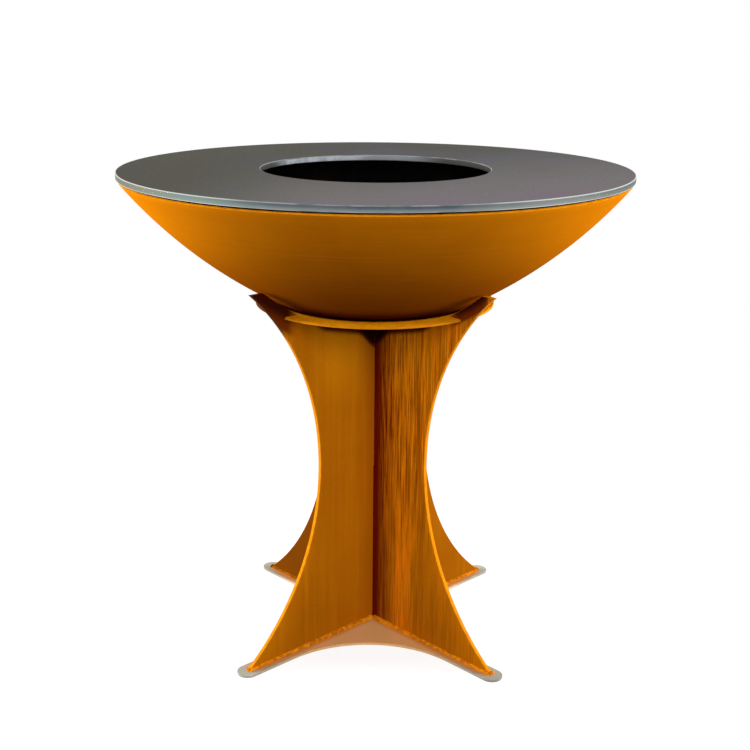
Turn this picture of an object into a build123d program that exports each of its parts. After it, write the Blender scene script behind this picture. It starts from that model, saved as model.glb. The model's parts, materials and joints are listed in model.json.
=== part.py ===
from build123d import *
import math
import os

# Fire bowl with a ring-shaped cooking plate, on a pedestal of two crossed panels.
# Millimetres, +Z up. The origin is on the ground, on the axis of the bowl.
# The four arms of the pedestal point along the diagonals between X and Y.
arm_angles = (45, 135, 225, 315)

# Base plate
base_thickness = 5.0
base_arm_width = 44.0
base_corner_radius = 220.0

# Crossed panels
panel_thickness = 8.0
foot_reach = 342.0
waist_reach = 150.0
waist_height = 387.0
shoulder_height = 707.0
ear_reach = 318.5
ear_height = 58.0
slot_clearance = 0.4
relief_radius = 5.0

# Fillet welds between the panels and the base plate
weld_leg = 7.0
weld_slope = 45.0
weld_relief_gap = 7.0

# Disc that carries the bowl, notched over the ears of the panels
disc_radius = 239.0
disc_thickness = 5.0
disc_hole_diameter = 40.0
notch_clearance = 0.6

# Fire bowl, a dish with a flat floor and a wall on one arc
bowl_rim_radius = 495.5
bowl_floor_radius = 190.5
bowl_height = 243.0
bowl_wall = 5.0
wall_arc_radius = 907.0
bend_radius = 40.0
drain_diameter = 12.0
cradle_gap = 2.5
cradle_foot_gap = 8.0

# Cooking plate and the spacers welded under it
plate_overhang = 4.5
plate_thickness = 12.0
plate_edge_round = 1.5
opening_radius = 225.0
air_gap = 3.0
spacer_thickness = 8.0
spacer_length = 36.0
spacer_inset = 8.0
spacer_seat = 0.3

# Fire grate, which stands on the floor of the bowl
grate_clearance = 15.0
ring_thickness = 6.0
bar_size = 10.0
bar_count = 11
bar_end_gap = 0.2
cross_bar_width = 16.0
cross_bar_height = 10.0
leg_diameter = 14.0
leg_height = 45.0
leg_inset = 30.0

# Heights and radii that follow from the sizes above
disc_top = shoulder_height + disc_thickness
ear_top = shoulder_height + ear_height
floor_top = disc_top + bowl_wall
slot_end = (base_thickness + shoulder_height) / 2
weld_start = relief_radius + weld_relief_gap
plate_radius = bowl_rim_radius + plate_overhang

# Centre of the wall's arc, from its two ends and its radius
chord_r = bowl_rim_radius - bowl_floor_radius
chord = math.hypot(chord_r, bowl_height)
chord_to_centre = math.sqrt(wall_arc_radius**2 - (chord / 2) ** 2)
arc_r = (bowl_rim_radius + bowl_floor_radius) / 2 - chord_to_centre * bowl_height / chord
arc_z = disc_top + bowl_height / 2 + chord_to_centre * chord_r / chord


def wall_r(height, offset=0.0):
    """Radius of the bowl's outer surface, moved outwards by offset, at a height."""
    return arc_r + math.sqrt((wall_arc_radius + offset) ** 2 - (arc_z - height) ** 2)


def wall_z(radius, offset=0.0):
    """Height of the bowl's outer surface, moved outwards by offset, at a radius."""
    return arc_z - math.sqrt((wall_arc_radius + offset) ** 2 - (radius - arc_r) ** 2)


# The rim is cut square to the wall, so its inner corner stands higher than its outer one.
rim_top = disc_top + bowl_height
inner_share = (wall_arc_radius - bowl_wall) / wall_arc_radius
rim_inner_r = arc_r + (bowl_rim_radius - arc_r) * inner_share
rim_inner_z = arc_z - (arc_z - rim_top) * inner_share
plate_bottom = rim_inner_z + air_gap

# The inner edges of the ears follow the wall of the bowl and leave it towards the disc.
ear_middle_z = (ear_top + disc_top) / 2
ear_middle_r = wall_r(ear_middle_z, (cradle_gap + cradle_foot_gap) / 2)
ear_inner_r = wall_r(ear_top, cradle_gap)
ear_foot_r = wall_r(disc_top, cradle_foot_gap)

grate_radius = opening_radius - grate_clearance
ring_inner = grate_radius - ring_thickness
leg_circle = bowl_floor_radius - leg_inset
grate_bottom = floor_top + leg_height
bar_bottom = grate_bottom + cross_bar_height


def wall_arc(start_r, end_r, offset):
    """Arc along the bowl's wall between two radii."""
    middle_r = (start_r + end_r) / 2
    points = [(radius, wall_z(radius, offset)) for radius in (start_r, middle_r, end_r)]
    return ThreePointArc(*points)


def upright(sketch, thickness):
    """A flat outline drawn as radius and height, stood up in the XZ plane."""
    return extrude(Plane.XZ * sketch, thickness / 2, both=True)


def base_plate():
    arm = SlotCenterToCenter(2 * foot_reach, base_arm_width)
    cross = Rot(0, 0, arm_angles[0]) * arm + Rot(0, 0, arm_angles[1]) * arm
    inner_corners = cross.vertices().sort_by_distance((0, 0, 0))[: len(arm_angles)]
    return extrude(fillet(inner_corners, base_corner_radius), base_thickness)


def panel(angle, slot_from, slot_to):
    """Pedestal panel with a waist, two ears and half of the crossing slot."""
    outline = [
        Line((0, base_thickness), (foot_reach, base_thickness)),
        ThreePointArc(
            (foot_reach, base_thickness), (waist_reach, waist_height), (ear_reach, ear_top)
        ),
        Line((ear_reach, ear_top), (ear_inner_r, ear_top)),
        ThreePointArc(
            (ear_inner_r, ear_top), (ear_middle_r, ear_middle_z), (ear_foot_r, disc_top)
        ),
        Line((ear_foot_r, disc_top), (ear_foot_r, shoulder_height)),
        Line((ear_foot_r, shoulder_height), (0, shoulder_height)),
        Line((0, shoulder_height), (0, base_thickness)),
    ]
    half = make_face(outline)
    slot = Pos(0, (slot_from + slot_to) / 2) * Rectangle(
        panel_thickness + slot_clearance, slot_to - slot_from
    )
    relief = Pos(0, base_thickness) * Circle(relief_radius)
    sheet = half + mirror(half, about=Plane.YZ) - slot - relief
    return Rot(0, 0, angle) * upright(sheet, panel_thickness)


def foot_weld(angle, welded_panel):
    """Fillet weld along both sides of one foot and around its toe."""
    strip = Rectangle(
        foot_reach + weld_leg - weld_start,
        panel_thickness + 2 * weld_leg,
        align=(Align.MIN, Align.CENTER),
    )
    bead = extrude(Pos(weld_start, 0, base_thickness) * strip, weld_leg, taper=weld_slope)
    return Rot(0, 0, angle) * bead - welded_panel


def support_disc():
    notch_start = ear_foot_r - notch_clearance
    notch = Pos(notch_start, 0) * Rectangle(
        disc_radius, panel_thickness + notch_clearance, align=(Align.MIN, Align.CENTER)
    )
    disc = Circle(disc_radius) - Circle(disc_hole_diameter / 2)
    for angle in arm_angles:
        disc -= Rot(0, 0, angle) * notch
    return extrude(Pos(0, 0, shoulder_height) * disc, disc_thickness)


def fire_bowl():
    drain_r = drain_diameter / 2
    inner_corner_r = wall_r(floor_top, -bowl_wall)
    outer_corner = (bowl_floor_radius, disc_top)
    inner_corner = (inner_corner_r, floor_top)
    section = make_face(
        [
            Line((drain_r, disc_top), outer_corner),
            wall_arc(bowl_floor_radius, bowl_rim_radius, 0.0),
            Line((bowl_rim_radius, rim_top), (rim_inner_r, rim_inner_z)),
            wall_arc(rim_inner_r, inner_corner_r, -bowl_wall),
            Line(inner_corner, (drain_r, floor_top)),
            Line((drain_r, floor_top), (drain_r, disc_top)),
        ]
    )
    outer_bend = section.vertices().sort_by_distance(outer_corner)[0]
    section = fillet(outer_bend, bend_radius + bowl_wall)
    inner_bend = section.vertices().sort_by_distance(inner_corner)[0]
    section = fillet(inner_bend, bend_radius)
    return revolve(Plane.XZ * section, Axis.Z)


def cooking_plate():
    ring = Circle(plate_radius) - Circle(opening_radius)
    plate = extrude(Pos(0, 0, plate_bottom) * ring, plate_thickness)
    return fillet(plate.edges().filter_by(GeomType.CIRCLE), plate_edge_round)


def plate_spacer(angle):
    """Gusset under the cooking plate that seats on the inside of the bowl's wall."""
    outer_r = rim_inner_r - spacer_inset
    inner_r = outer_r - spacer_length
    seat_offset = -(bowl_wall + spacer_seat)
    outline = [
        wall_arc(inner_r, outer_r, seat_offset),
        Line((outer_r, wall_z(outer_r, seat_offset)), (outer_r, plate_bottom)),
        Line((outer_r, plate_bottom), (inner_r, plate_bottom)),
        Line((inner_r, plate_bottom), (inner_r, wall_z(inner_r, seat_offset))),
    ]
    return Rot(0, 0, angle) * upright(make_face(outline), spacer_thickness)


def grate_ring():
    ring = Circle(grate_radius) - Circle(ring_inner)
    return extrude(Pos(0, 0, grate_bottom) * ring, cross_bar_height + bar_size)


def inside_ring(rod):
    """The part of a rod that fits between the inner faces of the ring."""
    return rod & extrude(Circle(ring_inner - bar_end_gap), plate_bottom)


def grate_bar(index):
    pitch = 2 * ring_inner / (bar_count + 1)
    x = (index + 1) * pitch - ring_inner
    bar = Box(bar_size, 2 * ring_inner, bar_size, align=(Align.CENTER, Align.CENTER, Align.MIN))
    return inside_ring(Pos(x, 0, bar_bottom) * bar)


def grate_cross_bar(side):
    y = side * leg_circle * math.sin(math.radians(arm_angles[0]))
    bar = Box(
        2 * ring_inner,
        cross_bar_width,
        cross_bar_height,
        align=(Align.CENTER, Align.CENTER, Align.MIN),
    )
    return inside_ring(Pos(0, y, grate_bottom) * bar)


def grate_leg(angle):
    leg = extrude(Circle(leg_diameter / 2), leg_height)
    return Rot(0, 0, angle) * Pos(leg_circle, 0, floor_top) * leg


parts = {
    "base_plate": base_plate(),
    "pedestal_panel_1": panel(arm_angles[0], base_thickness, slot_end),
    "pedestal_panel_2": panel(arm_angles[1], slot_end, shoulder_height),
    "bowl_support_disc": support_disc(),
    "fire_bowl": fire_bowl(),
    "cooking_plate": cooking_plate(),
    "grate_ring": grate_ring(),
}
for number, angle in enumerate(arm_angles, start=1):
    welded_panel = parts["pedestal_panel_1"] if number % 2 else parts["pedestal_panel_2"]
    parts[f"foot_weld_{number}"] = foot_weld(angle, welded_panel)
    parts[f"plate_spacer_{number}"] = plate_spacer(angle)
    parts[f"grate_leg_{number}"] = grate_leg(angle)
for number, side in enumerate((-1, 1), start=1):
    parts[f"grate_cross_bar_{number}"] = grate_cross_bar(side)
for index in range(bar_count):
    parts[f"grate_bar_{index + 1:02d}"] = grate_bar(index)

os.makedirs("parts", exist_ok=True)
for name, shape in parts.items():
    export_step(shape, f"parts/{name}.step")
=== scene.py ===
import json
import math

import bmesh
import bpy
from mathutils import Matrix, Vector

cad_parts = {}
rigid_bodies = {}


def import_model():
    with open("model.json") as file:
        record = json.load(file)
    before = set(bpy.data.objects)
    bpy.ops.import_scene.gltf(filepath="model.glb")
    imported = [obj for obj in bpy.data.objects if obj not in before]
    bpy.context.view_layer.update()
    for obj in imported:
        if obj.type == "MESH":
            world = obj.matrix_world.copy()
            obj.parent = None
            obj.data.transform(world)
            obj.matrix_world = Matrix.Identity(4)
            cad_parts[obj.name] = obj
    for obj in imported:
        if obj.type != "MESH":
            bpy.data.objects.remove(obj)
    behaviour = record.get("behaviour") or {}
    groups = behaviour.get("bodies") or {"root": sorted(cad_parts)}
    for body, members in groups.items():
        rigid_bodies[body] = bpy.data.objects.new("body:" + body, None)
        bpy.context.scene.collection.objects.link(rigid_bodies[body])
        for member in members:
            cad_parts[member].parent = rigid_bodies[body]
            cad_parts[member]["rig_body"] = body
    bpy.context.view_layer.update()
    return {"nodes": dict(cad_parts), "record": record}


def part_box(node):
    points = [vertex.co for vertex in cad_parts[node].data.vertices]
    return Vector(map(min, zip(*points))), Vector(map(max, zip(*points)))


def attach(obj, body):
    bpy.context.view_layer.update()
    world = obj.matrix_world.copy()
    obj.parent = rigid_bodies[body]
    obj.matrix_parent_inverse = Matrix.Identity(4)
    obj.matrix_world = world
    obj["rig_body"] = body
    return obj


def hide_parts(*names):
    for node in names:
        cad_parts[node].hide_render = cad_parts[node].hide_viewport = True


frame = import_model()

# Metres, +Z up. The bowl's axis is the Z axis and the ground is at zero.
# The four arms of the pedestal point along the diagonals between X and Y.
ARM_ANGLES = (45, 135, 225, 315)

# Bowl, as its solid is built
BOWL_FLOOR_RADIUS = 0.1905
BOWL_HEIGHT = 0.243
BOWL_WALL = 0.005
WALL_ARC_RADIUS = 0.907
BEND_RADIUS = 0.040
DRAIN_RADIUS = 0.006
BOWL_LOW, BOWL_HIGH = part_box("fire_bowl")


def wall_arc_centre():
    """Centre of the arc of the bowl's wall, from its two ends and its radius."""
    chord_r = BOWL_HIGH.x - BOWL_FLOOR_RADIUS
    chord = math.hypot(chord_r, BOWL_HEIGHT)
    reach = math.sqrt(WALL_ARC_RADIUS**2 - (chord / 2) ** 2)
    arc_r = (BOWL_HIGH.x + BOWL_FLOOR_RADIUS) / 2 - reach * BOWL_HEIGHT / chord
    arc_z = BOWL_LOW.z + BOWL_HEIGHT / 2 + reach * chord_r / chord
    return Vector((arc_r, 0, arc_z))


ARC_CENTRE = wall_arc_centre()
DISC_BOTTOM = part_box("bowl_support_disc")[0].z

# Plate, panels, disc and welds, as their solids are built
PLATE_EDGE_ROUND = 0.0015
PANEL_THICKNESS = 0.008
DISC_RADIUS = 0.239
WELD_LEG = 0.007

# The record's mounts are measured in millimetres
MM_PER_METRE = 1000

# How finely round pieces are turned, and how far cut edges are broken
TURN_STEPS = 180
WALL_STEPS = 30
BEND_STEPS = 6
ROUND_SEGMENTS = 3
BROKEN_EDGE = 0.0006
DISC_RIM_ROUND = 0.0014
DISC_RIM_SEGMENTS = 4

# Limits for picking edges and faces
NEAR = 0.00005
CREASE = math.radians(30)
IN_ONE_PLANE = math.radians(0.5)
FACING = 0.99
UPRIGHT = 0.1
TILTED_UP = 0.3
FLAT_FACE_AREA = 0.0015

# Laid weld metal: where a bead starts, and the steps of its sweep
BEAD_START = 0.005
BEAD_SIDES = 5
BEAD_STEP = 0.0012
BEAD_SINK = 0.0006
BEAD_FLATNESS = 0.14

# Ripples of a bead, and the sway of the hand that laid it, at two rates in radians per metre
RIPPLE_LENGTH = 0.0064
RIPPLE_CURVE = 0.0022
RIPPLE_SWELL = 0.2
RIPPLE_SHARE = 1 / 2
SWAY_SHARE = 1 / 6
SLOW_SWAY = 61
QUICK_SWAY = 143
SWAY_SHIFT = 1

# Ends of a bead, how much thinner it gets towards the toe, and the bead across the toe
BEAD_TAPER = 0.006
BEAD_END_SIZE = 0.45
BEAD_THINNING = 0.45
TOE_INSET = 0.003
TOE_OVERLAP = 0.7

# Directions from the axis. The camera stands in front and looks along +Y.
LEFT_SIDE = Vector((-1, 0, 0))
FRONT_SIDE = Vector((0, -1, 0))
FRONT_LEFT_ARM = Vector((-1, -1, 0)).normalized()
BACK_LEFT_ARM = Vector((-1, 1, 0)).normalized()
BACK_RIGHT_ARM = Vector((1, 1, 0)).normalized()
FRONT_RIGHT_SIDE = Vector((0.5, -0.8, 0)).normalized()

# The pairs below say where a layer of a finish starts and where it is full, in metres:
# as a height, a distance from the axis or from a piece, or a distance towards a side.

# Bowl
# Painted light: the bowl paler at its front left and front right
PAINTED_LIGHT_SIDES = (0.04, 0.42)
PAINTED_LIGHT_FRONT = (0.04, 0.2)
SPIN_LINE_HEIGHT = 0.875
SPIN_LINE_EDGE = (0.0016, 0.0004)
SPIN_LINE_SIDE = (-0.2, 0.25)
# Painted shade towards the bowl's foot and on its floor
SHADED_FOOT = (0.93, 0.73)
SHADED_FLOOR = (0.75, 0.715)

# Panels
# Painted light: the panels lighter high up near the middle, against the bowl's shadow
PAINTED_LIGHT_HEIGHT = (0.48, 0.64)
PAINTED_LIGHT_RADIUS = (0.2, 0.09)
DULL_FEET = (0.2, 0.02)
# Painted shade on the back arms
SHADED_BACK_ARM = (0.02, 0.08)
# Browner near the seam: patina and painted shade of the corner
BROWN_SHADED_MIDDLE = (0.06, 0.01)
STREAKED_RADIUS = (0.18, 0.04)
STREAKED_HEIGHT = (0.1, 0.48)
LIGHT_RUN_INSIDE = (0.055, 0.085)
LIGHT_RUN_OUTSIDE = (0.135, 0.1)
LIGHT_RUN_HEIGHT = (0.42, 0.2)
# Redder and darker towards the seam: patina and painted shade of the corner
RED_SHADED_MIDDLE = (0.08, 0.022)
DARK_SHADED_RUN_RADIUS = (0.06, 0.03)
DARK_SHADED_SEAM = (0.034, 0.014)

# Painted shadow that the disc casts down the panels: how far it reaches in the middle,
# how much less further out, how much more at the seam and less again under the rim
DISC_SHADOW_TOP = (-0.002, 0.0)
DISC_SHADOW_REACH = 0.079
DISC_SHADOW_SLOPE = 0.24
DISC_SHADOW_SEAM = (0.05, 0.0)
DISC_SHADOW_SEAM_GAIN = 0.026
DISC_SHADOW_RIM = (0.13, 0.225)
DISC_SHADOW_RIM_LOSS = 0.036

# Disc, and painted shade under and beside the bowl
SHADED_BY_BOWL = (0.207, 0.196)
# Painted shade of the bowl on the ears
EAR_START = (0.205, 0.235)
EAR_FADE = 0.02
# Painted shade close to the bowl on the left
SHADED_SIDE = (0.195, 0.215)
SHADED_GAP = (0.065, 0.045)

# Cooking plate
# Painted reflection: the plate's faces lighter towards the front right
PAINTED_REFLECTION_FACE = (-0.3, 0.5)
TINTED_FACE = (0.2, 0.5)
OLIVE_FACE = (0.05, 0.38)
# Painted reflections on the plate's outer edge: paler to the right, teal then cream to the left,
# and paler below a band at the top
PALE_REFLECTION_SIDE = (-0.12, -0.3)
TEAL_REFLECTION_SIDE = (0.12, 0.3)
CREAM_REFLECTION_SIDE = (0.3, 0.42)
EDGE_TOP_BAND = 0.003
PALE_WALL = (-0.02, 0.08)
DARK_WALLS = ((-0.04, -0.15), (0.17, 0.215))
# Painted highlight on the plate's outer rounded corners at the left and right
HIGHLIGHT_SIDES = (0.12, 0.3)
HIGHLIGHT_RADIUS = (0.3, 0.4)

# Base plate
RUN_OFF_WIDTH = (0.022, 0.010)
RUN_OFF_RADIUS = (0.352, 0.315)
# Orange towards the middle: rust stain, partly painted reflection of the panels
STAIN_AND_REFLECTION_RADIUS = (0.33, 0.18)

# Most of a noise's values lie in this range
NOISE_SPREAD = (0.3, 0.7)


def paint(red, green, blue):
    """A colour written as on a screen (sRGB), as the linear colour that a shader takes."""

    def linear(level):
        share = level / 255
        return share / 12.92 if share <= 0.04045 else ((share + 0.055) / 1.055) ** 2.4

    return (linear(red), linear(green), linear(blue), 1.0)


# Colours of the patina, the soot and the bare steel, and of painted light and shade
BOWL_ORANGE = paint(153, 87, 3)
BOWL_GOLD = paint(174, 103, 5)
BOWL_PAINTED_LIGHT = paint(190, 110, 5)
BOWL_BROWN = paint(134, 69, 3)
BOWL_SHADE = paint(91, 29, 2)
RUST_ORANGE = paint(163, 93, 4)
RUST_GOLD = paint(205, 128, 10)
RUST_AMBER = paint(218, 116, 10)
RUST_BROWN = paint(146, 75, 4)
RUST_RED = paint(85, 23, 3)
RUST_DULL = paint(73, 35, 3)
SEAM_RUST_AND_SHADE = paint(80, 6, 3)
RUST_SHADE = paint(40, 7, 2)
RUST_SHADOW = paint(18, 4, 2)
# Painted light: the disc's top is painted brighter than the rest of the rust
DISC_LIT_ORANGE = paint(250, 158, 12)
DISC_LIT_BROWN = paint(228, 132, 8)
CUT_ORANGE = paint(180, 111, 10)
CUT_BROWN = paint(158, 87, 7)
WELD_ORANGE = paint(196, 115, 6)
WELD_BROWN = paint(150, 80, 5)
PLATE_GREY = paint(90, 88, 92)
PLATE_OLIVE = paint(84, 82, 66)
PLATE_BLUE = paint(78, 80, 88)
PLATE_MAUVE = paint(132, 116, 130)
PLATE_REFLECTION = paint(132, 127, 123)
PLATE_SCRATCH = paint(150, 150, 150)
EDGE_BLUE = paint(72, 86, 97)
EDGE_GREY = paint(104, 110, 112)
EDGE_PALE_REFLECTION = paint(164, 170, 166)
EDGE_TEAL_REFLECTION = paint(138, 158, 152)
EDGE_CREAM_REFLECTION = paint(158, 156, 136)
EDGE_WORN = paint(150, 152, 158)
EDGE_HIGHLIGHT = paint(212, 214, 206)
WALL_GREY = paint(112, 116, 121)
WALL_PALE = paint(146, 151, 157)
WALL_DARK = paint(46, 46, 40)
BASE_PALE = paint(147, 146, 130)
BASE_DULL = paint(120, 117, 107)
BASE_STAIN_AND_REFLECTION = paint(210, 158, 100)
BASE_RUST = paint(184, 112, 34)
SOOT = paint(14, 13, 13)
SOOT_BROWN = paint(34, 26, 22)
GRATE_GREY = paint(62, 60, 60)
GRATE_ASH = paint(120, 116, 110)

# Tint of what the plate's steel reflects at low angles
FACE_TINT = (0.4, 0.4, 0.42, 1.0)
EDGE_TINT = (0.5, 0.5, 0.5, 1.0)


class Finish:
    """A procedural finish on object coordinates, built up in layers."""

    def __init__(self, name, metallic=0.0, specular=0.5, roughness=0.6):
        self.material = bpy.data.materials.new(name)
        self.material.use_nodes = True
        self.tree = self.material.node_tree
        self.shader = self.tree.nodes["Principled BSDF"]
        self.set("Metallic", metallic)
        self.set("Specular IOR Level", specular)
        self.set("Roughness", roughness)
        self.place = self.add("ShaderNodeTexCoord").outputs["Object"]

    def add(self, kind, **settings):
        node = self.tree.nodes.new(kind)
        for key, value in settings.items():
            setattr(node, key, value)
        return node

    def put(self, value, socket):
        """A constant or another node's output goes into a socket."""
        if isinstance(value, bpy.types.NodeSocket):
            self.tree.links.new(value, socket)
        else:
            socket.default_value = value

    def set(self, name, value):
        self.put(value, self.shader.inputs[name])

    def surface(self, colour, grain, smooth, rough):
        """Sets the colour, and a roughness that follows a grain."""
        self.set("Base Color", colour)
        self.set("Roughness", self.between(grain, *NOISE_SPREAD, smooth, rough))

    def noise(self, scale, detail=3.0, stretch=(1, 1, 1), roughness=0.55):
        """Noise whose grain is squeezed along each axis by the stretch."""
        mapping = self.add("ShaderNodeMapping")
        self.put(self.place, mapping.inputs["Vector"])
        mapping.inputs["Scale"].default_value = stretch
        texture = self.add("ShaderNodeTexNoise")
        self.put(mapping.outputs["Vector"], texture.inputs["Vector"])
        texture.inputs["Scale"].default_value = scale
        texture.inputs["Detail"].default_value = detail
        texture.inputs["Roughness"].default_value = roughness
        return texture.outputs["Fac"]

    def between(self, value, low, high, to_low=0.0, to_high=1.0):
        """Spreads the range from low to high over the range from to_low to to_high, smoothly."""
        spread = self.add("ShaderNodeMapRange", interpolation_type="SMOOTHSTEP")
        self.put(value, spread.inputs["Value"])
        limits = {"From Min": low, "From Max": high, "To Min": to_low, "To Max": to_high}
        for name, number in limits.items():
            spread.inputs[name].default_value = number
        return spread.outputs["Result"]

    def math(self, operation, first, second):
        node = self.add("ShaderNodeMath", operation=operation)
        self.put(first, node.inputs[0])
        self.put(second, node.inputs[1])
        return node.outputs["Value"]

    def times(self, value, *others):
        """Product of two or more values."""
        for other in others:
            value = self.math("MULTIPLY", value, other)
        return value

    def mix(self, share, under, over):
        """Lays one colour over another, by its share."""
        node = self.add("ShaderNodeMix", data_type="RGBA")
        under_socket, over_socket = [socket for socket in node.inputs if socket.type == "RGBA"]
        self.put(share, node.inputs["Factor"])
        self.put(under, under_socket)
        self.put(over, over_socket)
        return next(socket for socket in node.outputs if socket.type == "RGBA")

    def layer(self, under, over, value, start, full, share=1.0):
        """Lays one colour over another, from where a value starts to where it is full."""
        return self.mix(self.between(value, start, full, 0.0, share), under, over)

    def height(self):
        split = self.add("ShaderNodeSeparateXYZ")
        self.put(self.place, split.inputs["Vector"])
        return split.outputs["Z"]

    def along(self, direction):
        """How far a point lies along a direction from the axis."""
        dot = self.add("ShaderNodeVectorMath", operation="DOT_PRODUCT")
        self.put(self.place, dot.inputs[0])
        dot.inputs[1].default_value = direction
        return dot.outputs["Value"]

    def beside(self, direction):
        """Distance to either side of the upright plane through the axis, across a direction."""
        return self.math("ABSOLUTE", self.along(direction), 0)

    def from_axis(self):
        """Distance from the Z axis."""
        flat = self.add("ShaderNodeVectorMath", operation="MULTIPLY")
        self.put(self.place, flat.inputs[0])
        flat.inputs[1].default_value = (1, 1, 0)
        length = self.add("ShaderNodeVectorMath", operation="LENGTH")
        self.put(flat.outputs["Vector"], length.inputs[0])
        return length.outputs["Value"]

    def from_bowl(self):
        """Distance from the outside of the bowl's wall."""
        section = self.add("ShaderNodeCombineXYZ")
        self.put(self.from_axis(), section.inputs["X"])
        self.put(self.height(), section.inputs["Z"])
        distance = self.add("ShaderNodeVectorMath", operation="DISTANCE")
        self.put(section.outputs["Vector"], distance.inputs[0])
        distance.inputs[1].default_value = ARC_CENTRE
        return self.math("SUBTRACT", distance.outputs["Value"], WALL_ARC_RADIUS)

    def bump(self, height, depth, strength=1.0):
        node = self.add("ShaderNodeBump")
        self.put(height, node.inputs["Height"])
        node.inputs["Distance"].default_value = depth
        node.inputs["Strength"].default_value = strength
        self.set("Normal", node.outputs["Normal"])


def bowl_rust():
    """Even patina with fine rings from spinning, with painted light at the front sides and
    painted shade at the foot.
    """
    finish = Finish("bowl_rust", specular=0.0)
    clouds = finish.noise(5, detail=4)
    grain = finish.noise(330)
    rings = finish.noise(1, detail=4, stretch=(4, 4, 190))
    height = finish.height()
    colour = finish.layer(BOWL_ORANGE, BOWL_BROWN, clouds, 0.35, 0.7, 0.45)
    colour = finish.layer(colour, BOWL_GOLD, rings, 0.45, 0.75, 0.18)
    colour = finish.layer(colour, BOWL_BROWN, rings, 0.5, 0.25, 0.18)
    # Painted light on the bowl's front left and front right
    at_sides = finish.between(finish.beside(LEFT_SIDE), *PAINTED_LIGHT_SIDES, 0.0, 0.6)
    at_front = finish.between(finish.along(FRONT_SIDE), *PAINTED_LIGHT_FRONT)
    colour = finish.mix(finish.times(at_sides, at_front), colour, BOWL_PAINTED_LIGHT)
    from_line = finish.math("ABSOLUTE", finish.math("SUBTRACT", height, SPIN_LINE_HEIGHT), 0)
    spin_line = finish.between(from_line, *SPIN_LINE_EDGE, 0.0, 0.5)
    clear_side = finish.between(finish.along(LEFT_SIDE), *SPIN_LINE_SIDE, 0.3, 1.0)
    colour = finish.mix(finish.times(spin_line, clear_side), colour, BOWL_GOLD)
    colour = finish.layer(colour, RUST_BROWN, grain, 0.56, 0.75, 0.4)
    # Painted shade towards the foot and on the floor of the bowl
    colour = finish.layer(colour, BOWL_SHADE, height, *SHADED_FOOT, 0.7)
    colour = finish.layer(colour, RUST_SHADE, height, *SHADED_FLOOR, 0.9)
    finish.surface(colour, grain, 0.66, 0.88)
    finish.bump(finish.math("ADD", grain, rings), depth=0.0003, strength=0.3)
    return finish.material


def bowl_soot():
    """Burnt black inside of the bowl."""
    finish = Finish("bowl_soot", specular=0.2)
    patches = finish.noise(11, detail=5)
    flakes = finish.noise(180)
    colour = finish.layer(SOOT, SOOT_BROWN, patches, 0.5, 0.75)
    finish.surface(colour, flakes, 0.75, 0.98)
    finish.bump(flakes, depth=0.0006, strength=0.4)
    return finish.material


def painted_shadow_under_disc(finish, colour):
    """Painted shadow under the disc, red and then black, furthest in the middle."""
    radius = finish.from_axis()
    below = finish.math("SUBTRACT", DISC_BOTTOM, finish.height())
    reach = finish.math("SUBTRACT", DISC_SHADOW_REACH, finish.times(radius, DISC_SHADOW_SLOPE))
    reach = finish.math("ADD", reach, finish.between(radius, *DISC_SHADOW_SEAM, 0.0, DISC_SHADOW_SEAM_GAIN))
    reach = finish.math("SUBTRACT", reach, finish.between(radius, *DISC_SHADOW_RIM, 0.0, DISC_SHADOW_RIM_LOSS))
    depth = finish.math("SUBTRACT", reach, below)
    under_disc = finish.between(below, *DISC_SHADOW_TOP)
    for start, full, shade_colour in ((0.0, 0.013, RUST_RED), (0.004, 0.02, RUST_SHADOW)):
        painted_shadow = finish.times(finish.between(depth, start, full, 0.0, 0.95), under_disc)
        colour = finish.mix(painted_shadow, colour, shade_colour)
    return colour


def shade_ears(finish, colour, reach, bare_from):
    """Painted shade of the bowl on the ears, out to a distance from the bowl and to one from the
    axis.
    """
    radius = finish.from_axis()
    on_ear = finish.between(radius, *EAR_START)
    on_ear = finish.times(on_ear, finish.between(radius, bare_from, bare_from - EAR_FADE))
    for start, full, shade_colour in ((1.0, 0.75, RUST_RED), (0.7, 0.25, RUST_SHADE)):
        near_bowl = finish.between(finish.from_bowl(), start * reach, full * reach, 0.0, 0.9)
        colour = finish.mix(finish.times(near_bowl, on_ear), colour, shade_colour)
    return colour


def weathered_rust_and_painted_light(finish, clouds, light_share):
    """Clouded patina of the panels, lighter high up near the middle as painted light against the
    bowl's shadow, duller at the feet.
    """
    height = finish.height()
    colour = finish.layer(RUST_ORANGE, RUST_BROWN, clouds, 0.35, 0.7, 0.4)
    # Painted light high up near the middle, against the bowl's shadow
    painted_light = finish.between(height, *PAINTED_LIGHT_HEIGHT, 0.0, light_share)
    painted_light = finish.times(painted_light, finish.between(finish.from_axis(), *PAINTED_LIGHT_RADIUS, 0.05, 1.0))
    colour = finish.mix(painted_light, colour, RUST_GOLD)
    return finish.layer(colour, RUST_DULL, height, *DULL_FEET, 0.1)


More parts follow.
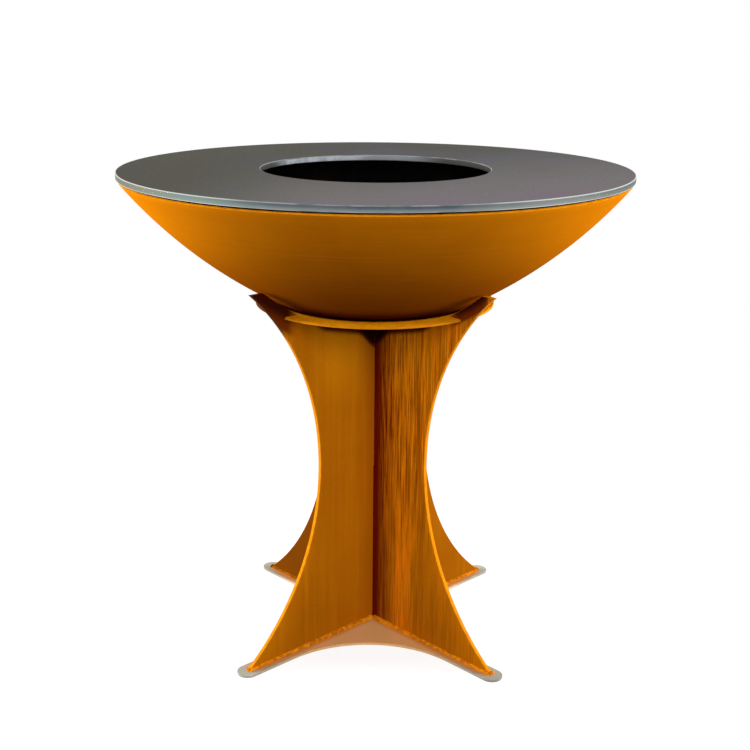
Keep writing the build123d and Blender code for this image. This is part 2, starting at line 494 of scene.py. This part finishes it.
def panel_rust():
    """Even patina of the first panel, with faint upright streaks."""
    finish = Finish("panel_rust", specular=0.0)
    clouds = finish.noise(6, detail=4)
    grain = finish.noise(300)
    runs = finish.noise(1, detail=4, stretch=(75, 75, 2.5))
    colour = weathered_rust_and_painted_light(finish, clouds, light_share=0.8)
    colour = finish.layer(colour, RUST_GOLD, runs, 0.5, 0.8, 0.25)
    colour = finish.layer(colour, RUST_BROWN, runs, 0.5, 0.2, 0.5)
    colour = finish.layer(colour, RUST_RED, grain, 0.58, 0.75, 0.35)
    # Painted shade on the back arm
    colour = finish.layer(colour, RUST_DULL, finish.along(BACK_RIGHT_ARM), *SHADED_BACK_ARM, 0.5)
    # Browner near the seam: patina and painted shade of the corner
    colour = finish.layer(colour, RUST_BROWN, finish.from_axis(), *BROWN_SHADED_MIDDLE, 0.7)
    # Painted shadow under the disc, and painted shade of the bowl on the ears
    colour = painted_shadow_under_disc(finish, colour)
    colour = shade_ears(finish, colour, reach=0.056, bare_from=0.36)
    finish.surface(colour, grain, 0.68, 0.9)
    finish.bump(grain, depth=0.0004, strength=0.35)
    return finish.material


def streaked_panel_rust():
    """Patina of the second panel, run down in fine streaks that are darkest near the middle,
    where painted shade of the corner darkens them too.
    """
    finish = Finish("streaked_panel_rust", specular=0.0)
    clouds = finish.noise(6, detail=4)
    grain = finish.noise(300)
    broad_runs = finish.noise(1, stretch=(90, 90, 5))
    fine_runs = finish.noise(1, detail=4, stretch=(400, 400, 10), roughness=0.65)
    radius = finish.from_axis()
    height = finish.height()
    streaky = finish.between(height, *STREAKED_HEIGHT, 0.3, 1.0)
    near_middle = finish.times(finish.between(radius, *STREAKED_RADIUS, 0.35, 1.0), streaky)
    colour = weathered_rust_and_painted_light(finish, clouds, light_share=0.6)
    amber_runs = finish.times(finish.between(fine_runs, 0.52, 0.36, 0.0, 0.95), streaky)
    colour = finish.mix(amber_runs, colour, RUST_AMBER)
    light_run = finish.times(
        finish.between(radius, *LIGHT_RUN_INSIDE),
        finish.between(radius, *LIGHT_RUN_OUTSIDE),
        finish.between(height, *LIGHT_RUN_HEIGHT, 0.0, 0.75),
        finish.between(fine_runs, 0.62, 0.42, 0.25, 1.0),
    )
    colour = finish.mix(light_run, colour, RUST_AMBER)
    for runs, start, full in ((fine_runs, 0.5, 0.62), (broad_runs, 0.5, 0.7)):
        red_runs = finish.times(finish.between(runs, start, full), near_middle)
        colour = finish.mix(red_runs, colour, RUST_RED)
    colour = finish.layer(colour, RUST_RED, grain, 0.58, 0.75, 0.35)
    # Painted shade on the back arm
    colour = finish.layer(colour, RUST_DULL, finish.along(BACK_LEFT_ARM), *SHADED_BACK_ARM, 0.88)
    # Redder and darker towards the seam: patina and painted shade of the corner
    colour = finish.layer(colour, RUST_RED, radius, *RED_SHADED_MIDDLE, 0.55)
    dark_runs = finish.times(
        finish.between(fine_runs, 0.46, 0.56),
        finish.between(radius, *DARK_SHADED_RUN_RADIUS, 0.0, 0.6),
    )
    colour = finish.mix(dark_runs, colour, SEAM_RUST_AND_SHADE)
    colour = finish.layer(colour, SEAM_RUST_AND_SHADE, radius, *DARK_SHADED_SEAM, 0.94)
    # Painted shadow under the disc, and painted shade of the bowl on the ears
    colour = painted_shadow_under_disc(finish, colour)
    colour = shade_ears(finish, colour, reach=0.032, bare_from=0.312)
    finish.surface(colour, grain, 0.68, 0.9)
    finish.bump(finish.math("ADD", grain, fine_runs), depth=0.0005, strength=0.4)
    return finish.material


def shade_side(finish, colour, side):
    """Painted shade close to the bowl on one side."""
    far_out = finish.between(finish.along(side), *SHADED_SIDE)
    by_bowl = finish.between(finish.from_bowl(), *SHADED_GAP, 0.0, 0.92)
    return finish.mix(finish.times(far_out, by_bowl), colour, RUST_SHADE)


def disc_rust():
    """Patina of the disc, painted bright as painted light, with painted shade where the bowl
    covers it.
    """
    finish = Finish("disc_rust", specular=0.0)
    patches = finish.noise(40)
    grain = finish.noise(320)
    # Painted light: the disc's top painted brighter than the panels' rust
    colour = finish.layer(DISC_LIT_ORANGE, DISC_LIT_BROWN, patches, 0.4, 0.7, 0.5)
    colour = finish.layer(colour, RUST_BROWN, grain, 0.56, 0.75, 0.4)
    colour = finish.layer(colour, RUST_SHADE, finish.from_axis(), *SHADED_BY_BOWL)
    colour = shade_side(finish, colour, LEFT_SIDE)
    finish.surface(colour, grain, 0.65, 0.88)
    finish.bump(grain, depth=0.0004, strength=0.35)
    return finish.material


def edge_rust(name, shaded_side):
    """Bright, rough rust on cut edges, with painted shade near the bowl on one side if one is
    given.
    """
    finish = Finish(name, specular=0.05)
    grain = finish.noise(420, detail=4)
    patches = finish.noise(60)
    colour = finish.layer(CUT_ORANGE, CUT_BROWN, patches, 0.4, 0.7, 0.6)
    colour = finish.layer(colour, RUST_BROWN, grain, 0.55, 0.75, 0.5)
    if shaded_side:
        colour = shade_side(finish, colour, shaded_side)
    finish.surface(colour, grain, 0.6, 0.85)
    finish.bump(grain, depth=0.0006, strength=0.5)
    return finish.material


def weld_rust():
    """Rusted weld metal, with painted shade on the back arms."""
    finish = Finish("weld_rust", specular=0.1)
    grain = finish.noise(360, detail=4)
    patches = finish.noise(90)
    colour = finish.layer(WELD_ORANGE, WELD_BROWN, patches, 0.35, 0.65)
    colour = finish.layer(colour, RUST_BROWN, grain, 0.58, 0.78, 0.4)
    # Painted shade on the back arms
    for arm, share in ((BACK_LEFT_ARM, 0.75), (BACK_RIGHT_ARM, 0.3)):
        colour = finish.layer(colour, RUST_DULL, finish.along(arm), *SHADED_BACK_ARM, share)
    finish.surface(colour, grain, 0.55, 0.8)
    finish.bump(grain, depth=0.0005, strength=0.5)
    return finish.material


def seasoned_steel():
    """Faces of the cooking plate: dark rolled steel, oiled and heated, with fine scratches."""
    finish = Finish("seasoned_steel", metallic=0.9)
    clouds = finish.noise(4, detail=4)
    tints = finish.noise(7)
    grain = finish.noise(420)
    scratches = finish.noise(1, detail=2, stretch=(18, 420, 10))
    towards_front_right = finish.along(FRONT_RIGHT_SIDE)
    colour = finish.layer(PLATE_GREY, PLATE_OLIVE, clouds, 0.35, 0.65)
    colour = finish.layer(colour, PLATE_BLUE, tints, 0.5, 0.7, 0.6)
    # Painted reflection: lighter towards the front right
    colour = finish.layer(colour, PLATE_REFLECTION, towards_front_right, *PAINTED_REFLECTION_FACE, 0.8)
    tinted = finish.between(tints, 0.35, 0.6, 0.0, 0.6)
    tinted = finish.times(tinted, finish.between(towards_front_right, *TINTED_FACE))
    colour = finish.mix(tinted, colour, PLATE_MAUVE)
    colour = finish.layer(colour, PLATE_OLIVE, finish.along(LEFT_SIDE), *OLIVE_FACE, 0.9)
    colour = finish.layer(colour, SOOT_BROWN, grain, 0.55, 0.75, 0.25)
    colour = finish.layer(colour, PLATE_SCRATCH, scratches, 0.66, 0.8, 0.35)
    finish.set("Specular Tint", FACE_TINT)
    finish.surface(colour, grain, 0.42, 0.56)
    finish.bump(finish.math("ADD", grain, scratches), depth=0.0002, strength=0.25)
    return finish.material


def blued_edge_steel():
    """Turned outer edge of the cooking plate, blued by heat, with painted reflections that make
    it paler at its sides and towards its lower corner.
    """
    finish = Finish("blued_edge_steel", metallic=0.95)
    tints = finish.noise(9)
    lines = finish.noise(1, stretch=(6, 6, 900))
    leftwards = finish.along(LEFT_SIDE)
    low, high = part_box("cooking_plate")
    colour = finish.layer(EDGE_BLUE, EDGE_GREY, tints, 0.4, 0.65, 0.6)
    # Painted reflections: paler to the right, teal then cream to the left, paler towards the
    # lower corner
    colour = finish.layer(colour, EDGE_PALE_REFLECTION, leftwards, *PALE_REFLECTION_SIDE, 0.5)
    colour = finish.layer(colour, EDGE_TEAL_REFLECTION, leftwards, *TEAL_REFLECTION_SIDE, 0.9)
    colour = finish.layer(colour, EDGE_CREAM_REFLECTION, leftwards, *CREAM_REFLECTION_SIDE, 0.9)
    colour = finish.layer(colour, EDGE_PALE_REFLECTION, finish.height(), high.z - EDGE_TOP_BAND, low.z, 0.6)
    finish.set("Specular Tint", EDGE_TINT)
    finish.surface(colour, lines, 0.32, 0.46)
    finish.bump(lines, depth=0.0002, strength=0.3)
    return finish.material


def opening_wall_steel():
    """Wall of the opening in the cooking plate, dull and scaled by the fire."""
    finish = Finish("opening_wall_steel", metallic=0.2, specular=0.3)
    scale = finish.noise(34, detail=4)
    grain = finish.noise(380)
    leftwards = finish.along(LEFT_SIDE)
    pale = finish.between(leftwards, *PALE_WALL, 0.1, 1.0)
    pale = finish.times(pale, finish.between(scale, 0.35, 0.6))
    colour = finish.mix(pale, WALL_GREY, WALL_PALE)
    for start, full in DARK_WALLS:
        colour = finish.layer(colour, WALL_DARK, leftwards, start, full, 0.95)
    finish.surface(colour, grain, 0.5, 0.65)
    finish.bump(grain, depth=0.0003, strength=0.3)
    return finish.material


def worn_corner_steel_with_highlight():
    """Rounded corners of the cooking plate, rubbed in places, with a painted highlight on the
    outer corners at the left and right.
    """
    finish = Finish("worn_corner_steel_with_highlight", metallic=0.95)
    rubbed = finish.noise(24)
    grain = finish.noise(400)
    colour = finish.layer(EDGE_GREY, EDGE_WORN, rubbed, 0.35, 0.6)
    # Painted highlight on the outer corners at the left and right
    highlight = finish.between(finish.beside(LEFT_SIDE), *HIGHLIGHT_SIDES)
    highlight = finish.times(highlight, finish.between(finish.from_axis(), *HIGHLIGHT_RADIUS))
    colour = finish.mix(highlight, colour, EDGE_HIGHLIGHT)
    finish.surface(colour, grain, 0.3, 0.42)
    finish.bump(grain, depth=0.0001, strength=0.3)
    return finish.material


def pale_base_steel():
    """Pale sheet of the base plate, stained by rust that ran down the panels, with a painted
    reflection of the panels in its orange towards the middle.
    """
    finish = Finish("pale_base_steel", metallic=0.25)
    patches = finish.noise(9, detail=4)
    marks = finish.noise(1, stretch=(10, 240, 10))
    grain = finish.noise(380)
    radius = finish.from_axis()
    colour = finish.layer(BASE_PALE, BASE_DULL, patches, 0.4, 0.7)
    colour = finish.layer(colour, BASE_DULL, marks, 0.55, 0.8, 0.3)
    # Rust stain, partly painted reflection of the panels
    colour = finish.layer(colour, BASE_STAIN_AND_REFLECTION, radius, *STAIN_AND_REFLECTION_RADIUS, 0.9)
    from_first_panel = finish.beside(BACK_LEFT_ARM)
    from_second_panel = finish.beside(BACK_RIGHT_ARM)
    from_panels = finish.math("MINIMUM", from_first_panel, from_second_panel)
    run_off = finish.between(from_panels, *RUN_OFF_WIDTH, 0.0, 0.85)
    run_off = finish.times(run_off, finish.between(radius, *RUN_OFF_RADIUS))
    colour = finish.mix(run_off, colour, BASE_RUST)
    finish.surface(colour, grain, 0.4, 0.55)
    finish.bump(grain, depth=0.0002, strength=0.25)
    return finish.material


def burnt_grate_steel():
    """Burnt steel of the grate, dusted with ash."""
    finish = Finish("burnt_grate_steel", metallic=0.4, specular=0.3)
    ash = finish.noise(26, detail=5)
    grain = finish.noise(300)
    colour = finish.layer(GRATE_GREY, SOOT_BROWN, grain, 0.4, 0.7)
    colour = finish.layer(colour, GRATE_ASH, ash, 0.5, 0.7, 0.7)
    finish.surface(colour, grain, 0.6, 0.85)
    finish.bump(grain, depth=0.0005, strength=0.4)
    return finish.material


# Cut edges, each with the side where painted shade darkens it near the bowl
EDGE_FINISHES = {
    "cut_edge_rust": None,
    "bowl_rim_rust": None,
    "shaded_panel_edge_rust": FRONT_LEFT_ARM,
    "shaded_disc_edge_rust": LEFT_SIDE,
}
FINISHES = {name: edge_rust(name, side) for name, side in EDGE_FINISHES.items()}
for make in (
    bowl_rust,
    bowl_soot,
    panel_rust,
    streaked_panel_rust,
    disc_rust,
    weld_rust,
    seasoned_steel,
    blued_edge_steel,
    opening_wall_steel,
    worn_corner_steel_with_highlight,
    pale_base_steel,
    burnt_grate_steel,
):
    FINISHES[make.__name__] = make()


def finish_piece(bm, node, ending, slot, *finishes):
    """Turns a modelled mesh into a piece that stands for a CAD node and moves with its body."""
    for face in bm.faces:
        face.smooth = face.calc_area() < FLAT_FACE_AREA
    for edge in sharp_edges(bm):
        edge.smooth = False
    name = f"{node}_{ending}"
    mesh = bpy.data.meshes.new(name)
    bm.to_mesh(mesh)
    bm.free()
    for finish in finishes:
        mesh.materials.append(FINISHES[finish])
    piece = bpy.data.objects.new(name, mesh)
    bpy.context.scene.collection.objects.link(piece)
    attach(piece, frame["nodes"][node]["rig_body"])
    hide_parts(node)


def sharp_edges(bm):
    return [
        edge for edge in bm.edges if edge.is_manifold and edge.calc_face_angle() > CREASE
    ]


def round_edges(bm, edges, width, segments=ROUND_SEGMENTS):
    bmesh.ops.bevel(
        bm,
        geom=edges,
        offset=width,
        affect="EDGES",
        segments=segments,
        profile=0.5,
        material=-1,
        clamp_overlap=True,
    )


def merged_copy(node):
    """A copy of a CAD solid with its doubled corners merged and its flat faces joined."""
    bm = bmesh.new()
    bm.from_mesh(frame["nodes"][node].data)
    bmesh.ops.remove_doubles(bm, verts=bm.verts, dist=NEAR)
    bmesh.ops.dissolve_limit(bm, angle_limit=IN_ONE_PLANE, verts=bm.verts, edges=bm.edges)
    return bm


def softened_copy(node):
    """A merged copy of a CAD solid with its sharp edges broken."""
    bm = merged_copy(node)
    round_edges(bm, sharp_edges(bm), BROKEN_EDGE)
    return bm


def turn(bm):
    """Turns the outline in a mesh once round the Z axis."""
    bmesh.ops.spin(
        bm,
        geom=bm.verts[:] + bm.edges[:],
        cent=(0, 0, 0),
        axis=(0, 0, 1),
        angle=math.tau,
        steps=TURN_STEPS,
        use_merge=True,
    )
    bmesh.ops.remove_doubles(bm, verts=bm.verts, dist=NEAR)
    bmesh.ops.recalc_face_normals(bm, faces=bm.faces)


def last_vert(swept):
    return next(part for part in swept["geom_last"] if isinstance(part, bmesh.types.BMVert))


def bowl_side(bm, rim_slope, depth):
    """Outline of one side of the dish, from its drain hole along the floor and up the wall."""
    floor = BOWL_LOW.z + depth
    surface = WALL_ARC_RADIUS - depth
    drop = ARC_CENTRE.z - floor
    corner_radius = ARC_CENTRE.x + math.sqrt(surface**2 - drop**2)
    corner_slope = math.acos(drop / surface)
    drain = bm.verts.new((DRAIN_RADIUS, 0, floor))
    corner = bm.verts.new((corner_radius, 0, floor))
    bm.edges.new((drain, corner))
    wall = bmesh.ops.spin(
        bm,
        geom=[corner],
        cent=ARC_CENTRE,
        axis=(0, -1, 0),
        angle=rim_slope - corner_slope,
        steps=WALL_STEPS,
    )
    return drain, last_vert(wall), corner_radius, corner_slope


def ring_edges(bm, radius, height):
    """Edges that run round the axis at a radius and a height."""

    def on_ring(vert):
        across = math.hypot(vert.co.x, vert.co.y)
        return abs(across - radius) < NEAR and abs(vert.co.z - height) < NEAR

    return [edge for edge in bm.edges if all(on_ring(vert) for vert in edge.verts)]


def make_fire_bowl():
    """Dish with a flat floor and an arched wall, black inside and rusted outside."""
    floor = BOWL_LOW.z
    rim_slope = math.atan2(BOWL_HIGH.x - ARC_CENTRE.x, ARC_CENTRE.z - floor - BOWL_HEIGHT)
    bm = bmesh.new()
    outer_drain, outer_rim, outer_radius, outer_slope = bowl_side(bm, rim_slope, 0)
    inner_drain, inner_rim, inner_radius, inner_slope = bowl_side(bm, rim_slope, BOWL_WALL)
    bm.edges.new((outer_drain, inner_drain))
    bm.edges.new((outer_rim, inner_rim))
    turn(bm)
    outer_setback = (BEND_RADIUS + BOWL_WALL) * math.tan(outer_slope / 2)
    inner_setback = BEND_RADIUS * math.tan(inner_slope / 2)
    round_edges(bm, ring_edges(bm, outer_radius, floor), outer_setback, BEND_STEPS)
    round_edges(bm, ring_edges(bm, inner_radius, floor + BOWL_WALL), inner_setback, BEND_STEPS)
    round_edges(bm, sharp_edges(bm), BROKEN_EDGE)
    for face in bm.faces:
        centre = face.calc_center_median()
        outwards = face.normal.dot(Vector((centre.x, centre.y, 0)).normalized())
        if face.normal.z > TILTED_UP:
            face.material_index = 1 if outwards < TILTED_UP else 2
    finish_piece(
        bm, "fire_bowl", "steel", "weathering_steel", "bowl_rust", "bowl_soot", "bowl_rim_rust"
    )


def make_cooking_plate():
    """Flat ring with rounded edges: seasoned faces and blued edges."""
    low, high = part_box("cooking_plate")
    mounts = {mount["name"]: mount for mount in frame["record"]["mounts"]}
    opening = mounts["centre_opening"]["dims"]["r_mm"] / MM_PER_METRE
    bm = bmesh.new()
    corners = [(opening, low.z), (high.x, low.z), (high.x, high.z), (opening, high.z)]
    verts = [bm.verts.new((radius, 0, height)) for radius, height in corners]
    for first, second in zip(verts, verts[1:] + verts[:1]):
        bm.edges.new((first, second))
    turn(bm)
    round_edges(bm, sharp_edges(bm), PLATE_EDGE_ROUND)
    finishes = ("seasoned_steel", "worn_corner_steel_with_highlight", "blued_edge_steel", "opening_wall_steel")
    for face in bm.faces:
        tilt = abs(face.normal.z)
        outwards = face.normal.dot(face.calc_center_median()) > 0
        if tilt < UPRIGHT:
            face.material_index = 2 if outwards else 3
        elif tilt < FACING:
            face.material_index = 1
    finish_piece(bm, "cooking_plate", "steel", "plate_steel", *finishes)


def make_support_disc():
    """Disc under the bowl, with its upper rim worn round."""
    node = "bowl_support_disc"
    bm = merged_copy(node)
    upper_rim = ring_edges(bm, DISC_RADIUS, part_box(node)[1].z)
    round_edges(bm, upper_rim, DISC_RIM_ROUND, DISC_RIM_SEGMENTS)
    round_edges(bm, sharp_edges(bm), BROKEN_EDGE)
    for face in bm.faces:
        face.material_index = 0 if abs(face.normal.z) > FACING else 1
    finish_piece(bm, node, "steel", "weathering_steel", "disc_rust", "shaded_disc_edge_rust")


def make_panels():
    """The two crossed panels, with broken edges and brighter cut edges."""
    finishes = {
        1: ("panel_rust", "shaded_panel_edge_rust"),
        2: ("streaked_panel_rust", "cut_edge_rust"),
    }
    for number, (face_finish, edge_finish) in finishes.items():
        angle = math.radians(ARM_ANGLES[number - 1])
        across = Vector((-math.sin(angle), math.cos(angle), 0))
        node = f"pedestal_panel_{number}"
        bm = softened_copy(node)
        for face in bm.faces:
            face.material_index = 0 if abs(face.normal.dot(across)) > FACING else 1
        finish_piece(bm, node, "steel", "weathering_steel", face_finish, edge_finish)


def bead_ripple(along, length, turn_share):
    """How far the bead swells at a place along it and round its section."""
    bulge = math.sin(math.pi * turn_share)
    wave = math.sin(math.tau * (along + RIPPLE_CURVE * bulge) / RIPPLE_LENGTH)
    sway = math.sin(along * SLOW_SWAY) + math.sin(along * QUICK_SWAY + SWAY_SHIFT)
    ripple = RIPPLE_SHARE * wave + SWAY_SHARE * sway
    swell = 1 - BEAD_FLATNESS * bulge + RIPPLE_SWELL * bulge * ripple
    end_gap = max(min(along, length - along), 0)
    thinning = 1 - BEAD_THINNING * along / length
    taper = min(1, BEAD_END_SIZE + (1 - BEAD_END_SIZE) * end_gap / BEAD_TAPER)
    return swell * thinning * taper


def lay_bead(bm, length, place):
    """Lays a rippled bead: swept along X with its legs along Y and Z, then put in its place."""
    laid_before = set(bm.verts)
    root = bm.verts.new((0, -BEAD_SINK, -BEAD_SINK))
    toe = bm.verts.new((0, WELD_LEG, 0))
    arc = bmesh.ops.spin(
        bm, geom=[toe], cent=(0, 0, 0), axis=(1, 0, 0), angle=math.pi / 2, steps=BEAD_SIDES
    )
    bm.edges.new((root, toe))
    bm.edges.new((last_vert(arc), root))
    section = [vert for vert in bm.verts if vert not in laid_before]
    edges = {edge for vert in section for edge in vert.link_edges}
    steps = round(length / BEAD_STEP)
    bmesh.ops.spin(
        bm,
        geom=section + list(edges),
        cent=(0, 0, 0),
        axis=(1, 0, 0),
        dvec=(length / steps, 0, 0),
        angle=0,
        steps=steps,
    )
    laid = [vert for vert in bm.verts if vert not in laid_before]
    for vert in laid:
        turn_share = max(math.atan2(vert.co.z, vert.co.y), 0) / (math.pi / 2)
        size = bead_ripple(vert.co.x, length, min(turn_share, 1))
        vert.co.y *= size
        vert.co.z *= size
    laid_edges = {edge for vert in laid for edge in vert.link_edges if edge.is_boundary}
    bmesh.ops.holes_fill(bm, edges=list(laid_edges))
    bmesh.ops.transform(bm, matrix=place, verts=laid)


def make_foot_weld(number):
    """Weld round one foot: a bead along each side and one across the toe."""
    base_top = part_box("base_plate")[1].z
    panel_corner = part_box("pedestal_panel_1")[1]
    half = PANEL_THICKNESS / 2
    foot_reach = panel_corner.x * math.sqrt(2) - half
    length = foot_reach - BEAD_START
    bm = bmesh.new()
    for side in (1, -1):
        mirror = Matrix.Diagonal((1, side, 1, 1))
        lay_bead(bm, length, Matrix.Translation((BEAD_START, side * half, base_top)) @ mirror)
    toe_half = half + WELD_LEG * TOE_OVERLAP
    toe_place = Matrix.Translation((foot_reach - TOE_INSET, toe_half, base_top))
    lay_bead(bm, 2 * toe_half, toe_place @ Matrix.Rotation(-math.pi / 2, 4, "Z"))
    arm = Matrix.Rotation(math.radians(ARM_ANGLES[number - 1]), 4, "Z")
    bmesh.ops.transform(bm, matrix=arm, verts=bm.verts)
    bmesh.ops.recalc_face_normals(bm, faces=bm.faces)
    finish_piece(bm, f"foot_weld_{number}", "bead", "weld_metal", "weld_rust")


def make_plain_steel():
    """Pieces that keep the shape of their solids, with broken edges."""
    looks = {
        "base_plate": ("base_steel", "pale_base_steel"),
        "plate_spacer": ("plate_steel", "seasoned_steel"),
        "grate": ("grate_steel", "burnt_grate_steel"),
    }
    for node in frame["nodes"]:
        for beginning, (slot, finish) in looks.items():
            if node.startswith(beginning):
                finish_piece(softened_copy(node), node, "steel", slot, finish)


make_fire_bowl()
make_cooking_plate()
make_panels()
make_support_disc()
for foot in range(1, len(ARM_ANGLES) + 1):
    make_foot_weld(foot)
make_plain_steel()

# Camera at the photograph's place, tilt and roll
CAMERA_PLACE = (0.04843, -2.41224, 1.25903)
CAMERA_HEADING = math.radians(1.1128)
CAMERA_TILT = math.radians(16.3682)
CAMERA_ROLL = math.radians(0.4375)
CAMERA_LENS = 58.795
CAMERA_SENSOR = 36.0


def place_camera():
    camera_data = bpy.data.cameras.new("camera")
    camera_data.sensor_width = CAMERA_SENSOR
    camera_data.lens = CAMERA_LENS
    camera = bpy.data.objects.new("camera", camera_data)
    bpy.context.scene.collection.objects.link(camera)
    heading = Matrix.Rotation(CAMERA_HEADING, 4, "Z")
    tilt = Matrix.Rotation(math.pi / 2 - CAMERA_TILT, 4, "X")
    roll = Matrix.Rotation(CAMERA_ROLL, 4, "Z")
    camera.matrix_world = Matrix.Translation(CAMERA_PLACE) @ heading @ tilt @ roll
    bpy.context.scene.camera = camera


# Soft boxes: place, width, height and power in watts, all aimed at the foot of the bowl
AIM = Vector((0, 0, 0.75))
SOFTBOXES = {
    "left_softbox": ((-4.0, 0.75, 1.1), 1.9, 2.0, 540),
    "right_softbox": ((4.0, 0.75, 1.1), 1.9, 2.0, 460),
    "front_softbox": ((0.1, -3.2, 1.5), 1.6, 1.0, 52),
    "high_softbox": ((0.2, -2.9, 2.8), 2.4, 1.7, 122),
    "top_softbox": ((0, 0.3, 3.2), 2.4, 2.4, 42),
}


def hang_softboxes():
    for name, (place, width, height, power) in SOFTBOXES.items():
        lamp = bpy.data.lights.new(name, "AREA")
        lamp.shape = "RECTANGLE"
        lamp.size = width
        lamp.size_y = height
        lamp.energy = power
        softbox = bpy.data.objects.new(name, lamp)
        bpy.context.scene.collection.objects.link(softbox)
        towards = AIM - Vector(place)
        turned = towards.to_track_quat("-Z", "Y").to_matrix().to_4x4()
        softbox.matrix_world = Matrix.Translation(place) @ turned
        softbox.visible_camera = False
        softbox.visible_glossy = False


# Floor: how far it reaches, how deep it lies and how much light it bounces onto the object,
# then how pale it looks, where its own white takes over and how much of that is there before
FLOOR_SIZE = 30
FLOOR_DROP = 0.0003
FLOOR_BOUNCE = 0.15
FLOOR_LEVEL = 0.9
FLOOR_FADE = (0.4, 1.4)
FLOOR_GLOW = 0.75

# White all round, and the level at which it lights the object
WHITE = (1, 1, 1, 1)
ROOM_LEVEL = 0.13


def seen_directly(tree):
    """One where the camera, a reflection or a see-through ray looks, zero for bounced light."""
    path = tree.nodes.new("ShaderNodeLightPath")
    seen = path.outputs["Is Camera Ray"]
    for name in ("Is Glossy Ray", "Is Transmission Ray"):
        either = tree.nodes.new("ShaderNodeMath")
        either.operation = "MAXIMUM"
        tree.links.new(seen, either.inputs[0])
        tree.links.new(path.outputs[name], either.inputs[1])
        seen = either.outputs["Value"]
    return seen


def white_room():
    """White all round for the camera and reflections, and a plain soft level of light."""
    world = bpy.data.worlds.new("room")
    world.use_nodes = True
    bpy.context.scene.world = world
    tree = world.node_tree
    lit = tree.nodes["Background"]
    lit.inputs["Strength"].default_value = ROOM_LEVEL
    lit.inputs["Color"].default_value = WHITE
    white = tree.nodes.new("ShaderNodeBackground")
    white.inputs["Color"].default_value = WHITE
    mixed = tree.nodes.new("ShaderNodeMixShader")
    tree.links.new(seen_directly(tree), mixed.inputs["Fac"])
    tree.links.new(lit.outputs["Background"], mixed.inputs[1])
    tree.links.new(white.outputs["Background"], mixed.inputs[2])
    tree.links.new(mixed.outputs["Shader"], tree.nodes["World Output"].inputs["Surface"])


def pale_floor():
    """White floor that keeps the object's shadow close by and fades into the white room."""
    bm = bmesh.new()
    bmesh.ops.create_grid(bm, x_segments=1, y_segments=1, size=FLOOR_SIZE)
    bmesh.ops.translate(bm, vec=(0, 0, -FLOOR_DROP), verts=bm.verts)
    mesh = bpy.data.meshes.new("floor")
    bm.to_mesh(mesh)
    bm.free()
    floor = bpy.data.objects.new("floor", mesh)
    bpy.context.scene.collection.objects.link(floor)
    finish = Finish("floor_white")
    tree = finish.tree
    bounced = finish.add("ShaderNodeBsdfDiffuse")
    bounced.inputs["Color"].default_value = (FLOOR_BOUNCE, FLOOR_BOUNCE, FLOOR_BOUNCE, 1)
    shadowed = finish.add("ShaderNodeBsdfDiffuse")
    shadowed.inputs["Color"].default_value = (FLOOR_LEVEL, FLOOR_LEVEL, FLOOR_LEVEL, 1)
    white = finish.add("ShaderNodeEmission")
    fade = finish.between(finish.from_axis(), *FLOOR_FADE, FLOOR_GLOW, 1.0)
    near = finish.add("ShaderNodeMixShader")
    finish.put(fade, near.inputs["Fac"])
    finish.put(shadowed.outputs["BSDF"], near.inputs[1])
    finish.put(white.outputs["Emission"], near.inputs[2])
    mixed = finish.add("ShaderNodeMixShader")
    finish.put(seen_directly(tree), mixed.inputs["Fac"])
    finish.put(bounced.outputs["BSDF"], mixed.inputs[1])
    finish.put(near.outputs["Shader"], mixed.inputs[2])
    finish.put(mixed.outputs["Shader"], tree.nodes["Material Output"].inputs["Surface"])
    tree.nodes.remove(finish.shader)
    mesh.materials.append(finish.material)


place_camera()
hang_softboxes()
white_room()
pale_floor()
bpy.context.scene.view_settings.view_transform = "Standard"
